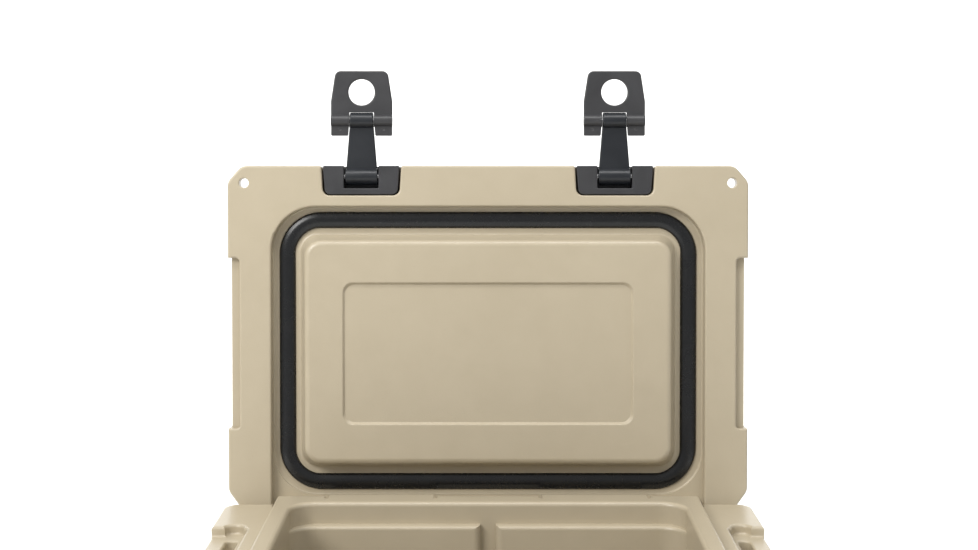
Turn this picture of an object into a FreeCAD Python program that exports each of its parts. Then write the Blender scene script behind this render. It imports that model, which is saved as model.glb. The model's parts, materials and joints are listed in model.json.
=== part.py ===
import FreeCAD, Part
import math
import os

# A rotomoulded cooler chest with its lid open. X runs across the chest, -Y is the front, +Z is up.
# The origin is the centre of the body's moulded underside; the rubber feet stand below it. Millimetres.
# The lid and its latches are drawn closed and then turned about the hinge rod to where they rest.

Vec = FreeCAD.Vector
WALL = 4.0
FOAM_GAP = 0.3
RUN = 0.06

# body
BASE_HALF = (251.0, 164.0)
DECK_HALF = (258.0, 170.0)
DECK_Z = 302.0
DECK_ROUND = 3.0
BODY_CORNER = (8.0, 10.0)
LID_CORNER = (14.0, 16.0)
LID_REAR_CORNER = (15.0, 21.0)
CORNER_ROUND = 12.0
RIM_HALF = 213.0
RIM_FRONT = -130.0
RIM_REAR = 159.5
RIM_Z = 313.0
RIM_DRAFT = 8.0
CAVITY_HALF = 188.0
CAVITY_Y = (-107.0, 133.0)
LEDGE_Z = 292.0
LEDGE_WIDTH = 10.0
LEDGE_ROUND = 3.5
FLOOR_Z = 48.0
DIVIDER_HALF = 7.5
DIVIDER_FOOT_Z = 66.0
FILL_HOLE_Y = 60.0
FILL_HOLE_R = 12.2

# side grips
GRIP_Y = (-80.0, 85.0)
GRIP_INNER = 224.0
GRIP_DECK_Z = 292.5
SLOT_X = (231.0, 242.0)
SLOT_Y = (-62.0, 71.0)
HAND_Y = (-74.0, 83.0)
HAND_Z = (222.0, 279.0)

# hinge
HINGE_Y = 170.0
HINGE_Z = 294.0
KNUCKLE_R = 10.0
ROD_R = 4.0
LID_ANGLE = 95.0
BODY_KNUCKLES = ((-155.0, -53.0), (53.0, 155.0))
LID_KNUCKLES = ((-209.5, -157.0), (-51.0, 51.0), (157.0, 209.5))
KNUCKLE_GAP = 2.0
HINGE_END = LID_KNUCKLES[2][1]
CAP_DEPTH = 6.2
CAP_R = 5.95

# lid
LID_HALF = 257.0
LID_Y = (-171.0, 172.0)
LID_Z = (303.0, 350.0)
LID_NOTCH_Y = (-80.0, 89.0)
EAR_Z = 316.0
RECESS_HALF = 214.3
RECESS_FRONT = -130.8
HINGE_RECESS_Z = 315.0
BED_Z = 317.5
BED_REAR = 156.5
SEAL_HALF = 207.3
SEAL_Y = (-125.4, 151.0)
SEAL_WIDTH = 15.6
SEAL_Z = (313.3, 322.0)
PLUG_HALF = 186.0
PLUG_Y = (-102.8, 128.0)
PLUG_Z = 294.5
PLUG_DRAFT = 6.0
PANEL_HALF = 143.0
PANEL_Y = (-56.0, 84.0)
PANEL_DEPTH = 2.5
PADLOCK_X = 240.8
PADLOCK_Y = -154.0
PADLOCK_R = 4.75
LID_FILL_XY = (105.0, 162.5)
LID_FILL_R = 5.0

# latches
LATCH_X = 125.1
HOUSING_HALF = (37.9, 35.7)
HOUSING_GAP = 2.0
HOUSING_BACK = -142.6
HOUSING_Z = (303.3, 336.0)
HOUSING_SCREW_X = 27.5
HOUSING_SCREW_Z = 321.0
WINDOW_HALF = 17.2
WINDOW_BACK = -148.7
LINK_Y = -160.5
LINK_Z = 313.0
LINK_LENGTH = 55.4
LINK_PIN_R = 2.5
LEVER_PIN_R = 2.0
LEVER_HALF = 30.4
LEVER_BARREL_R = 6.3
LEVER_LENGTH = 49.0
LEVER_HOLE_R = 12.9
LEVER_HOLE_AT = 28.0
FORK_HALF = 12.2
TAB_LENGTH = 15.2
NICHE_HALF = 40.0
NICHE_BACK = -142.0
NICHE_Z = 195.0
KEEPER_LIP_Z = LINK_Z - LINK_LENGTH + TAB_LENGTH + 0.6
KEEPER_FRONT = NICHE_BACK - 2.5
KEEPER_SCREW_X = 24.0
KEEPER_SCREW_Z = KEEPER_LIP_Z + 12.0

# drain, on the right side wall
DRAIN_Y = 95.0
DRAIN_Z = 60.0
DRAIN_R = 9.0
DRAIN_POCKET_X = 230.0

# feet
FOOT_X = 196.0
FOOT_Y = 118.0
FOOT_HALF = (26.0, 17.0)
FOOT_POCKET_Z = 5.0
FOOT_BELOW = 6.0


def rounded_wire(points, radii, z):
    """A closed flat outline at height z through the points, each corner rounded to its own radius."""
    count = len(points)
    radii = radii if isinstance(radii, (list, tuple)) else [radii] * count
    ends = []
    for i, (x, y) in enumerate(points):
        here = Vec(x, y, z)
        back = (Vec(*points[i - 1], z) - here).normalize()
        ahead = (Vec(*points[(i + 1) % count], z) - here).normalize()
        half = back.getAngle(ahead) / 2
        reach = radii[i] / math.tan(half)
        bisector = (back + ahead).normalize()
        middle = here + bisector * (radii[i] / math.sin(half) - radii[i])
        ends.append((here + back * reach, middle, here + ahead * reach))
    edges = []
    for i, (start, middle, end) in enumerate(ends):
        if radii[i] > 0:
            edges.append(Part.Arc(start, middle, end).toShape())
        following = ends[(i + 1) % count][0]
        if end.distanceToPoint(following) > 1e-6:
            edges.append(Part.LineSegment(end, following).toShape())
    return Part.Wire(edges)


def prism(points, radii, z0, z1):
    face = Part.Face(rounded_wire(points, radii, z0))
    return face.extrude(Vec(0, 0, z1 - z0))


def tapered(low, high, radii, z0, z1):
    return Part.makeLoft([rounded_wire(low, radii, z0), rounded_wire(high, radii, z1)], True, True)


def rectangle(half_x, y0, y1):
    return [(-half_x, y0), (half_x, y0), (half_x, y1), (-half_x, y1)]


def cornered(half_x, y0, y1, cut, inset=0.0, rear_cut=None):
    """A rectangle with its four corners cut off, drawn inset on every side."""
    cut_x = cut[0] - 0.6 * inset
    cut_y = cut[1] - 0.6 * inset
    rear_x = (rear_cut or cut)[0] - 0.6 * inset
    rear_y = (rear_cut or cut)[1] - 0.6 * inset
    x = half_x - inset
    low = y0 + inset
    high = y1 - inset
    return [
        (-x + cut_x, low), (x - cut_x, low), (x, low + cut_y), (x, high - rear_y),
        (x - rear_x, high), (-x + rear_x, high), (-x, high - rear_y), (-x, low + cut_y),
    ]


def box(x0, x1, y0, y1, z0, z1):
    return Part.makeBox(x1 - x0, y1 - y0, z1 - z0, Vec(x0, y0, z0))


def bar_x(x0, x1, y, z, r):
    """A round bar along X."""
    return Part.makeCylinder(r, x1 - x0, Vec(x0, y, z), Vec(1, 0, 0))


def bar_y(x, y0, y1, z, r):
    """A round bar along Y."""
    return Part.makeCylinder(r, y1 - y0, Vec(x, y0, z), Vec(0, 1, 0))


def bar_z(x, y, z0, z1, r):
    """A round bar along Z."""
    return Part.makeCylinder(r, z1 - z0, Vec(x, y, z0), Vec(0, 0, 1))


def union(shapes):
    return shapes[0].multiFuse(shapes[1:]).removeSplitter() if len(shapes) > 1 else shapes[0]


def cut_all(shape, tools):
    return shape.cut(tools)


def edges_near_z(shape, z, half_x=400.0, y0=-300.0, y1=300.0, tolerance=0.05):
    """The edges that lie flat at height z, inside the given plan rectangle."""
    picked = []
    for edge in shape.Edges:
        b = edge.BoundBox
        flat = abs(b.ZMin - z) < tolerance and abs(b.ZMax - z) < tolerance
        inside = b.XMin > -half_x and b.XMax < half_x and b.YMin > y0 and b.YMax < y1
        if flat and inside:
            picked.append(edge)
    return picked


def mirrored(shape):
    return shape.mirror(Vec(0, 0, 0), Vec(1, 0, 0))


def both_sides(shape):
    return [shape, mirrored(shape)]


def opened(shape):
    """A lid piece turned from closed to its resting place."""
    turned = shape.copy()
    turned.rotate(Vec(0, HINGE_Y, HINGE_Z), Vec(1, 0, 0), -LID_ANGLE)
    return turned


def sector(x0, x1, points):
    """A solid drawn in the YZ plane and carried along X."""
    corners = [Vec(x0, y, z) for y, z in points]
    outline = Part.makePolygon(corners + corners[:1])
    return Part.Face(outline).extrude(Vec(x1 - x0, 0, 0))


# ---- body ----

def divider_groove(y_wall, y_deep, grow):
    """The groove that a divider board slides down in, its mouth rounded where it opens into the wall."""
    into = 1.0 if y_deep > y_wall else -1.0
    half = DIVIDER_HALF + grow
    deep = y_deep + into * grow
    plan = [(-25.0, y_wall - into * 6), (25.0, y_wall - into * 6), (25.0, y_wall), (half, y_wall),
            (half, deep), (-half, deep), (-half, y_wall), (-25.0, y_wall)]
    mouth = 6.5 if grow == 0 else 0.0
    radii = [0, 0, 0, mouth, 0, 0, mouth, 0]
    return prism(plan, radii, DIVIDER_FOOT_Z - grow, LEDGE_Z + 5)


def cavity(grow):
    """The food space: a wide top, a tray ledge front and rear, and a groove in each for a divider."""
    y0, y1 = CAVITY_Y
    half = CAVITY_HALF + grow
    upper = prism(rectangle(half, y0 - grow, y1 + grow), 24.0 + grow, LEDGE_Z - grow, RIM_Z + 30)
    low = y0 + LEDGE_WIDTH - grow
    high = y1 - LEDGE_WIDTH + grow
    lower = prism(rectangle(half, low, high), 24.0 + grow, FLOOR_Z - grow, LEDGE_Z + 1)
    sump = bar_x(150.0 - grow, half, DRAIN_Y, DRAIN_Z, 21.0 + grow)
    pieces = [divider_groove(high, y1, grow), divider_groove(low, y0, grow), sump]
    if grow == 0:
        lower = lower.makeFillet(12.0, edges_near_z(lower, FLOOR_Z))
        pieces.append(ledge_flare(half, low, high))
    return [upper, lower] + pieces


def ledge_flare(half, low, high):
    """The rounding of the ledge's edge, which dies away into the side walls at its ends."""
    sections = []
    for step in range(7):
        turn = math.radians(90.0 * step / 6)
        out = LEDGE_ROUND * (1 - math.cos(turn))
        z = LEDGE_Z - LEDGE_ROUND + LEDGE_ROUND * math.sin(turn)
        sections.append(rounded_wire(rectangle(half, low - out, high + out), 24.0, z))
    return Part.makeLoft(sections, True, True)


def latch_niche(grow):
    """The niche in the body's front for one latch, open at the front and through the deck."""
    slope = 22.0
    y0 = NICHE_BACK + grow
    profile = [
        (-180.0, NICHE_Z - slope - grow), (-172.0, NICHE_Z - slope - grow), (y0, NICHE_Z - grow),
        (y0, DECK_Z + 5), (-180.0, DECK_Z + 5),
    ]
    half = NICHE_HALF + grow
    return sector(LATCH_X - half, LATCH_X + half, profile)


def side_grip(grow):
    """The sunk deck, the strap slot through it and the hand recess below, on the right side."""
    step = prism([(GRIP_INNER - grow, GRIP_Y[0] - grow), (270.0, GRIP_Y[0] - grow),
                  (270.0, GRIP_Y[1] + grow), (GRIP_INNER - grow, GRIP_Y[1] + grow)],
                 [6.0, 0, 0, 6.0], GRIP_DECK_Z - grow, DECK_Z + 5)
    middle = (SLOT_X[0] + SLOT_X[1]) / 2
    bites = [bar_z(middle, y, GRIP_DECK_Z - grow, DECK_Z + 5, 9.0 + grow) for y in GRIP_Y]
    slot = prism([(SLOT_X[0] - grow, SLOT_Y[0] - grow), (SLOT_X[1] + grow, SLOT_Y[0] - grow),
                  (SLOT_X[1] + grow, SLOT_Y[1] + grow), (SLOT_X[0] - grow, SLOT_Y[1] + grow)],
                 5.0 + grow, HAND_Z[0] + 20, DECK_Z)
    hand = box(GRIP_INNER - 2 - grow, 270.0, HAND_Y[0] - grow, HAND_Y[1] + grow,
               HAND_Z[0] - grow, HAND_Z[1] + grow)
    if grow == 0:
        inner = [e for e in hand.Edges if e.BoundBox.XMax < GRIP_INNER]
        hand = hand.makeFillet(10.0, inner)
    solid_bar = [box(GRIP_INNER, 270.0, HAND_Y[0] - 12, HAND_Y[1] + 12, HAND_Z[0], DECK_Z)] if grow else []
    return [step, slot, hand] + bites + solid_bar


def corner_pocket(grow):
    """The pocket under the padlock hole at the right front corner."""
    return box(228.0 - grow, 270.0, -180.0, -140.0 + grow, 252.0 - grow, 284.0 + grow)


def hinge_pockets(grow):
    """Where the lid's knuckles turn, cut from the body's rear edge."""
    shapes = []
    clear = KNUCKLE_R + 0.6 + grow
    for x0, x1 in LID_KNUCKLES:
        low = x0 - KNUCKLE_GAP - grow
        high = x1 + KNUCKLE_GAP + grow
        shapes.append(bar_x(low, high, HINGE_Y, HINGE_Z, clear))
        shapes.append(box(low, high, HINGE_Y - clear, HINGE_Y + 20, HINGE_Z, RIM_Z + 5))
    return shapes


def drain_cut(grow):
    """The drain's hole and the outside pocket that keeps its plug inside the wall."""
    hole = bar_x(150.0, 262.0, DRAIN_Y, DRAIN_Z, 13.2 + grow)
    pocket = bar_x(DRAIN_POCKET_X - grow, 270.0, DRAIN_Y, DRAIN_Z, 28.0 + grow)
    return [hole, pocket]


def foot_places():
    return [(x, y) for x in (-FOOT_X, FOOT_X) for y in (-FOOT_Y, FOOT_Y)]


def foot_plan(x, y, grow):
    half_x = FOOT_HALF[0] + grow
    half_y = FOOT_HALF[1] + grow
    return [(x - half_x, y - half_y), (x + half_x, y - half_y),
            (x + half_x, y + half_y), (x - half_x, y + half_y)]


def foot_pockets(grow):
    clear = grow + 0.6
    return [prism(foot_plan(x, y, clear), 10.0 + clear, -20.0, FOOT_POCKET_Z + grow)
            for x, y in foot_places()]


def block_form(inset):
    """The tapered block below the deck, drawn inset on every side."""
    return tapered(cornered(BASE_HALF[0], -BASE_HALF[1], BASE_HALF[1], BODY_CORNER, inset),
                   cornered(DECK_HALF[0], -DECK_HALF[1], DECK_HALF[1], BODY_CORNER, inset),
                   CORNER_ROUND - 0.9 * inset, inset, DECK_Z - inset)


def rim_form(inset):
    """The raised sealing rim, drawn inset on every side."""
    foot = rectangle(RIM_HALF - inset, RIM_FRONT + inset, RIM_REAR - inset)
    crown = rectangle(RIM_HALF - RIM_DRAFT - inset, RIM_FRONT + RIM_DRAFT + inset, RIM_REAR - inset)
    radii = [42.0 - inset, 42.0 - inset, 3.0, 3.0]
    return tapered(foot, crown, radii, DECK_Z - 9.0, RIM_Z - inset)


def body_cuts(grow):
    """Everything that is taken out of the body besides the cavity."""
    right = side_grip(grow) + [latch_niche(grow), corner_pocket(grow)]
    right.append(bar_z(PADLOCK_X, PADLOCK_Y, 270.0, DECK_Z + 5, PADLOCK_R + grow))
    shapes = right + [mirrored(s) for s in right]
    return shapes + hinge_pockets(grow) + drain_cut(grow) + foot_pockets(grow)


def body_inside(inset):
    """The closed space between the body's two walls, or the foam that fills it."""
    shape = union([block_form(inset), rim_form(inset)])
    shape = cut_all(shape, cavity(inset))
    shape = cut_all(shape, body_cuts(inset))
    shape = cut_all(shape, [box(-RIM_HALF, RIM_HALF, RIM_REAR - 10.0 - inset, 200.0, DECK_Z - 30.0, RIM_Z)])
    return largest(shape)


def largest(shape):
    return max(shape.Solids, key=lambda s: s.Volume)


def hinge_block(x0, x1):
    """One of the body's knuckles, standing behind the rim and rounding down to the rod."""
    top_y = RIM_REAR + 3.5
    dy = top_y - HINGE_Y
    dz = RIM_Z - HINGE_Z
    turn = math.atan2(dz, dy) - math.acos(KNUCKLE_R / math.hypot(dy, dz))
    tangent = (HINGE_Y + KNUCKLE_R * math.cos(turn), HINGE_Z + KNUCKLE_R * math.sin(turn))
    front = RIM_REAR - 6.0
    low = HINGE_Z - KNUCKLE_R
    web = sector(x0, x1, [(front, low), (front, RIM_Z), (top_y, RIM_Z), tangent, (HINGE_Y, low)])
    return union([web, bar_x(x0, x1, HINGE_Y, HINGE_Z, KNUCKLE_R)])


def body_outside():
    """The body's outer skin with its moulded rounds, before the cavity and the hardware's places are cut."""
    shape = block_form(0)
    shape = shape.makeFillet(10.0, edges_near_z(shape, 0.0))
    step, slot, hand, *bites = side_grip(0)
    for tool in both_sides(union([step] + bites)) + both_sides(latch_niche(0)):
        shape = shape.cut(tool)
    shape = shape.makeFillet(DECK_ROUND, edges_near_z(shape, DECK_Z))
    shape = shape.makeFillet(2.5, edges_near_z(shape, GRIP_DECK_Z))
    for tool in both_sides(slot) + both_sides(hand) + both_sides(corner_pocket(0)):
        shape = shape.cut(tool)
    slot_rims = [e for e in edges_near_z(shape, GRIP_DECK_Z)
                 if SLOT_X[0] - 1 < min(abs(e.BoundBox.XMin), abs(e.BoundBox.XMax))
                 and max(abs(e.BoundBox.XMin), abs(e.BoundBox.XMax)) < SLOT_X[1] + 1]
    shape = shape.makeFillet(2.0, slot_rims)
    shape = shape.makeFillet(3.0, [e for e in shape.Edges if rims_hand_recess(e.BoundBox)])
    rim = rim_form(0)
    rim = rim.makeFillet(2.5, edges_near_z(rim, RIM_Z))
    return union([shape, rim])


def rims_hand_recess(b):
    outside = min(abs(b.XMin), abs(b.XMax)) > DECK_HALF[0] - 3.5
    along = b.YMin > HAND_Y[0] - 1 and b.YMax < HAND_Y[1] + 1
    return outside and along and b.ZMin > HAND_Z[0] - 1 and b.ZMax < HAND_Z[1] + 1


def body_shell():
    shape = body_outside()
    for tool in cavity(0):
        shape = shape.cut(tool)
    y0, y1 = CAVITY_Y
    shape = shape.makeFillet(4.0, edges_near_z(shape, RIM_Z, CAVITY_HALF + 1, y0 - 1, y1 + 1))
    shape = shape.makeFillet(1.5, edges_near_z(shape, DECK_Z, RIM_HALF + 1, RIM_FRONT - 1, RIM_REAR + 1))
    for tool in drain_cut(0):
        shape = shape.cut(tool)
    shape = shape.makeFillet(2.0, [e for e in shape.Edges if rims_drain_pocket(e.BoundBox)])
    padlock = bar_z(PADLOCK_X, PADLOCK_Y, 270.0, DECK_Z + 5, PADLOCK_R)
    shape = cut_all(shape, hinge_pockets(0) + foot_pockets(0) + both_sides(padlock))
    shape = union([shape] + [hinge_block(x0, x1) for x0, x1 in BODY_KNUCKLES])
    front = RIM_REAR - 10.5
    notches = [box(x - KNUCKLE_GAP, x + KNUCKLE_GAP, front, HINGE_Y + 20, HINGE_Z - 12.0, RIM_Z + 5)
               for pair in BODY_KNUCKLES for x in (pair[0] - KNUCKLE_GAP, pair[1] + KNUCKLE_GAP)]
    notches.append(bar_x(-230.0, 230.0, HINGE_Y, HINGE_Z, ROD_R + RUN))
    shape = cut_all(shape, notches + screw_holes_in_body())
    shape = largest(shape.cut(body_inside(WALL)))
    return shape.cut(bar_z(0, FILL_HOLE_Y, -5.0, WALL + 1, FILL_HOLE_R))


def rims_drain_pocket(b):
    reach = 30.0
    beside = b.YMin > DRAIN_Y - reach and b.YMax < DRAIN_Y + reach
    return b.XMin > 240 and beside and b.ZMin > DRAIN_Z - reach and b.ZMax < DRAIN_Z + reach


def screw_holes_in_body():
    holes = []
    for x in keeper_screw_xs():
        holes.append(bar_y(x, NICHE_BACK - 1, NICHE_BACK + 3.4, KEEPER_SCREW_Z, 2.1))
    for x, y in foot_places():
        holes.append(bar_z(x, y, FOOT_POCKET_Z - 1, FOOT_POCKET_Z + 3.4, 2.1))
    return holes


def body_foam():
    return body_inside(WALL + FOAM_GAP)


def body_fill_plug():
    """The press-in disc that closes the foaming hole in the underside."""
    disc = bar_z(0, FILL_HOLE_Y, 0.4, WALL - 0.2, FILL_HOLE_R - RUN)
    dimple = bar_z(0, FILL_HOLE_Y, -1.0, 1.2, 4.0)
    return disc.cut(dimple)


# ---- lid ----

def lid_recess(grow):
    """The two steps of the lid's underside: the hinge end, and the bed that the seal lies in."""
    half = RECESS_HALF + grow
    hinge_end = prism(rectangle(half, 60.0, 190.0), 0, 280.0, HINGE_RECESS_Z + grow)
    bed_plan = rectangle(half, RECESS_FRONT - grow, BED_REAR + grow)
    bed = prism(bed_plan, 44.0 + grow, LID_Z[0] - 1, BED_Z + grow)
    return [hinge_end, bed]


def seal_ring(outward, inward, z0, z1):
    """The ring between two rounded rectangles that the seal, or its groove, fills."""
    outer_plan = rectangle(SEAL_HALF + outward, SEAL_Y[0] - outward, SEAL_Y[1] + outward)
    outer = prism(outer_plan, 42.0 + outward, z0, z1)
    half = SEAL_HALF - SEAL_WIDTH - inward
    inner = prism(rectangle(half, SEAL_Y[0] + SEAL_WIDTH + inward, SEAL_Y[1] - SEAL_WIDTH - inward),
                  24.0 - inward, z0 - 1, z1 + 1)
    return outer.cut(inner)


def lid_plug(inset):
    """The raised insulated plug that drops into the cavity."""
    draft = PLUG_DRAFT
    wide = rectangle(PLUG_HALF - inset, PLUG_Y[0] + inset, PLUG_Y[1] - inset)
    narrow = rectangle(PLUG_HALF - draft - inset, PLUG_Y[0] + draft + inset, PLUG_Y[1] - draft - inset)
    plug = tapered(narrow, wide, 17.0 - inset / 2, PLUG_Z + inset, BED_Z + 0.5)
    if inset == 0:
        plug = plug.makeFillet(6.0, edges_near_z(plug, PLUG_Z))
        sunk = tapered(rectangle(PANEL_HALF, PANEL_Y[0], PANEL_Y[1]),
                       rectangle(PANEL_HALF - 2, PANEL_Y[0] + 2, PANEL_Y[1] - 2),
                       10.0, PLUG_Z - 0.01, PLUG_Z + PANEL_DEPTH)
        return plug.cut(sunk)
    sunk = prism(rectangle(PANEL_HALF + inset, PANEL_Y[0] - inset, PANEL_Y[1] + inset),
                 10.0 + inset, 200.0, PLUG_Z + PANEL_DEPTH + inset)
    neck = prism(wide, 17.0, BED_Z + 0.4, BED_Z + 2 * inset)
    return union([plug.cut(sunk), neck])


def lid_niche(grow):
    """The tapered niche in the lid's front edge that one latch housing is let into."""
    front, back = [half + HOUSING_GAP + grow for half in HOUSING_HALF]
    y1 = HOUSING_BACK + 0.8 + grow
    plan = [(LATCH_X - front, -180.0), (LATCH_X + front, -180.0), (LATCH_X + back, y1), (LATCH_X - back, y1)]
    return prism(plan, [0, 0, 7.0, 7.0], 280.0, HOUSING_Z[1] + grow)


def lid_side_notch(grow):
    """The long relief along the lid's side, over the body's grip."""
    y0, y1 = LID_NOTCH_Y
    plan = [(245.5 - grow, y0 - grow), (270.0, y0 - grow), (270.0, y1 + grow), (245.5 - grow, y1 + grow)]
    under = prism(plan, [4.0, 0, 0, 4.0], 280.0, LID_Z[0] + 7.0 + grow)
    face = box(LID_HALF - 3.0 - grow, 270.0, y0 - grow, y1 + grow, 280.0, LID_Z[0] + 34.0)
    return [under, face]


def lid_ear(grow):
    """The step in the lid's top corner, which leaves an ear thin enough for a padlock."""
    plan = [(225.0 - grow, -190.0), (280.0, -190.0), (280.0, -138.0 + grow), (225.0 - grow, -138.0 + grow)]
    return prism(plan, [0, 0, 0, 8.0 + grow], EAR_Z - grow, 400.0)


def lid_inside(inset):
    """The closed space between the lid's two skins, or the foam that fills it."""
    outline = cornered(LID_HALF, LID_Y[0], LID_Y[1], LID_CORNER, inset, LID_REAR_CORNER)
    shape = prism(outline, CORNER_ROUND, LID_Z[0] + inset, LID_Z[1] - inset)
    cuts = lid_recess(inset) + [seal_ring(inset + 0.3, inset + 0.3, 280.0, SEAL_Z[1] + inset)]
    shape = cut_all(shape, cuts)
    shape = union([shape, lid_plug(inset)])
    right = [lid_niche(inset), lid_ear(inset)] + lid_side_notch(inset)
    right.append(bar_z(PADLOCK_X, PADLOCK_Y, 280.0, 360.0, PADLOCK_R + inset))
    cuts = right + [mirrored(s) for s in right]
    cuts.append(top_panel(inset))
    return largest(cut_all(shape, cuts))


def top_panel(grow):
    """The shallow sunk panel on the lid's top."""
    plan = rectangle(205.0 + grow, -122.0 - grow, 122.0 + grow)
    return prism(plan, 24.0 + grow, LID_Z[1] - 2.0 - grow, 400.0)


def lid_knuckle(x0, x1):
    arm = box(x0, x1, HINGE_Y - KNUCKLE_R + 0.5, LID_Y[1], HINGE_Z, HINGE_RECESS_Z + 3)
    return union([arm, bar_x(x0, x1, HINGE_Y, HINGE_Z, KNUCKLE_R)])


def lid_shell():
    outline = cornered(LID_HALF, LID_Y[0], LID_Y[1], LID_CORNER, 0.0, LID_REAR_CORNER)
    shape = prism(outline, CORNER_ROUND, LID_Z[0], LID_Z[1])
    shape = shape.makeFillet(11.0, edges_near_z(shape, LID_Z[1]))
    for tool in lid_recess(0) + both_sides(lid_ear(0)):
        shape = shape.cut(tool)
    notches = [lid_niche(0)] + lid_side_notch(0)
    shape = cut_all(shape, notches + [mirrored(s) for s in notches])
    niche_sides = [e for e in shape.Edges if e.BoundBox.ZLength > 20 and e.BoundBox.YMax < LID_Y[0] + 0.1
                   and e.BoundBox.XLength < 0.01 and abs(e.BoundBox.XMin) < 200]
    shape = shape.makeFillet(2.0, niche_sides + edges_near_z(shape, LID_Z[0]))
    shape = shape.makeFillet(2.0, edges_near_z(shape, BED_Z))
    shape = shape.cut(seal_ring(FOAM_GAP, FOAM_GAP, BED_Z - 10, SEAL_Z[1] + 0.2))
    shape = union([shape, lid_plug(0)])
    shape = shape.makeFillet(3.0, edges_near_z(shape, BED_Z, PLUG_HALF + 1, PLUG_Y[0] - 1, PLUG_Y[1] + 1))
    sunk = (PANEL_HALF + 1, PANEL_Y[0] - 1, PANEL_Y[1] + 1)
    shape = shape.makeFillet(1.5, edges_near_z(shape, PLUG_Z, *sunk))
    shape = shape.makeFillet(1.0, edges_near_z(shape, PLUG_Z + PANEL_DEPTH, *sunk))
    shape = cut_all(shape, both_sides(bar_z(PADLOCK_X, PADLOCK_Y, 280.0, 360.0, PADLOCK_R)))
    hole_rims = [e for e in edges_near_z(shape, LID_Z[0])
                 if e.BoundBox.XLength < 10 and abs(e.BoundBox.YMin - PADLOCK_Y) < 6]
    shape = shape.makeFillet(1.0, hole_rims)
    shape = union([shape] + [lid_knuckle(x0, x1) for x0, x1 in LID_KNUCKLES])
    shape = shape.cut(top_panel(0))
    shape = shape.makeFillet(1.5, edges_near_z(shape, LID_Z[1], 206.0, -123.0, 123.0))
    cuts = [bar_x(-230.0, 230.0, HINGE_Y, HINGE_Z, ROD_R + RUN)]
    cuts += both_sides(bar_x(HINGE_END - CAP_DEPTH, HINGE_END + 1, HINGE_Y, HINGE_Z, CAP_R + 0.05))
    cuts += [bar_y(x, HOUSING_BACK - 1, HOUSING_BACK + 4.2, HOUSING_SCREW_Z, 2.1)
             for x in housing_screw_xs()]
    shape = largest(cut_all(shape, cuts).cut(lid_inside(WALL)))
    x, y = LID_FILL_XY
    fill_hole = bar_z(x, y, HINGE_RECESS_Z - 1, HINGE_RECESS_Z + WALL + 0.2, LID_FILL_R)
    return cut_all(shape, both_sides(fill_hole))


def lid_foam():
    return lid_inside(WALL + FOAM_GAP)


def lid_fill_plugs():
    """The press-in discs that close the lid's foaming holes, inside its hinge end."""
    x, y = LID_FILL_XY
    return both_sides(bar_z(x, y, HINGE_RECESS_Z + 0.4, HINGE_RECESS_Z + WALL - 0.2, LID_FILL_R - RUN))


def lid_gasket():
    ring = seal_ring(0, 0, SEAL_Z[0], SEAL_Z[1])
    return ring.makeFillet(2.2, edges_near_z(ring, SEAL_Z[0]))


# ---- hinge ----

def hinge_rod():
    half = HINGE_END - CAP_DEPTH - 0.2
    return bar_x(-half, half, HINGE_Y, HINGE_Z, ROD_R)


def hinge_caps():
    """The two press-in caps that keep the rod from sliding out."""
    return both_sides(bar_x(HINGE_END - CAP_DEPTH + 0.2, HINGE_END - 0.4, HINGE_Y, HINGE_Z, CAP_R))


# ---- latches ----

def housing_screw_xs():
    return [side * LATCH_X + offset for side in (-1, 1) for offset in (-HOUSING_SCREW_X, HOUSING_SCREW_X)]


def keeper_screw_xs():
    return [side * LATCH_X + offset for side in (-1, 1) for offset in (-KEEPER_SCREW_X, KEEPER_SCREW_X)]


def latch_housing(side):
    """The black block let into the lid's front edge, with a window that the link's barrel turns in."""
    x = side * LATCH_X
    front, back = HOUSING_HALF
    plan = [(x - front, LID_Y[0]), (x + front, LID_Y[0]), (x + back, HOUSING_BACK), (x - back, HOUSING_BACK)]
    block = prism(plan, [1.5, 1.5, 5.8, 5.8], HOUSING_Z[0], HOUSING_Z[1])
    block = block.makeFillet(1.0, edges_near_z(block, HOUSING_Z[0]))
    window = prism([(x - WINDOW_HALF, -190.0), (x + WINDOW_HALF, -190.0),
                    (x + WINDOW_HALF, WINDOW_BACK), (x - WINDOW_HALF, WINDOW_BACK)],
                   [0, 0, 1.2, 1.2], 280.0, HOUSING_Z[1] - 5.0)
    block = block.cut(window)
    window_rim = edges_near_z(block, HOUSING_Z[0], 400.0, LID_Y[0] + 1.5, HOUSING_BACK - 3.0)
    block = block.makeFillet(0.8, window_rim)
    cuts = [bar_x(x - 23.0, x + 23.0, LINK_Y, LINK_Z, LINK_PIN_R + RUN)]
    for offset in (-HOUSING_SCREW_X, HOUSING_SCREW_X):
        cuts.append(bar_y(x + offset, -180.0, -165.5, HOUSING_SCREW_Z, 5.0))
        cuts.append(bar_y(x + offset, -170.0, -130.0, HOUSING_SCREW_Z, 2.3))
    return cut_all(block, cuts)


def housing_screws(side):
    x = side * LATCH_X
    screws = []
    z = HOUSING_SCREW_Z
    for offset in (-HOUSING_SCREW_X, HOUSING_SCREW_X):
        head = bar_y(x + offset, -168.7, -165.6, z, 4.3)
        head = head.cut(box(x + offset - 0.6, x + offset + 0.6, -170.0, -167.5, z - 3.4, z + 3.4))
        head = head.cut(box(x + offset - 3.4, x + offset + 3.4, -170.0, -167.5, z - 0.6, z + 0.6))
        screws.append(union([head, bar_y(x + offset, -165.7, HOUSING_BACK + 4.0, z, 2.0)]))
    return screws


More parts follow.
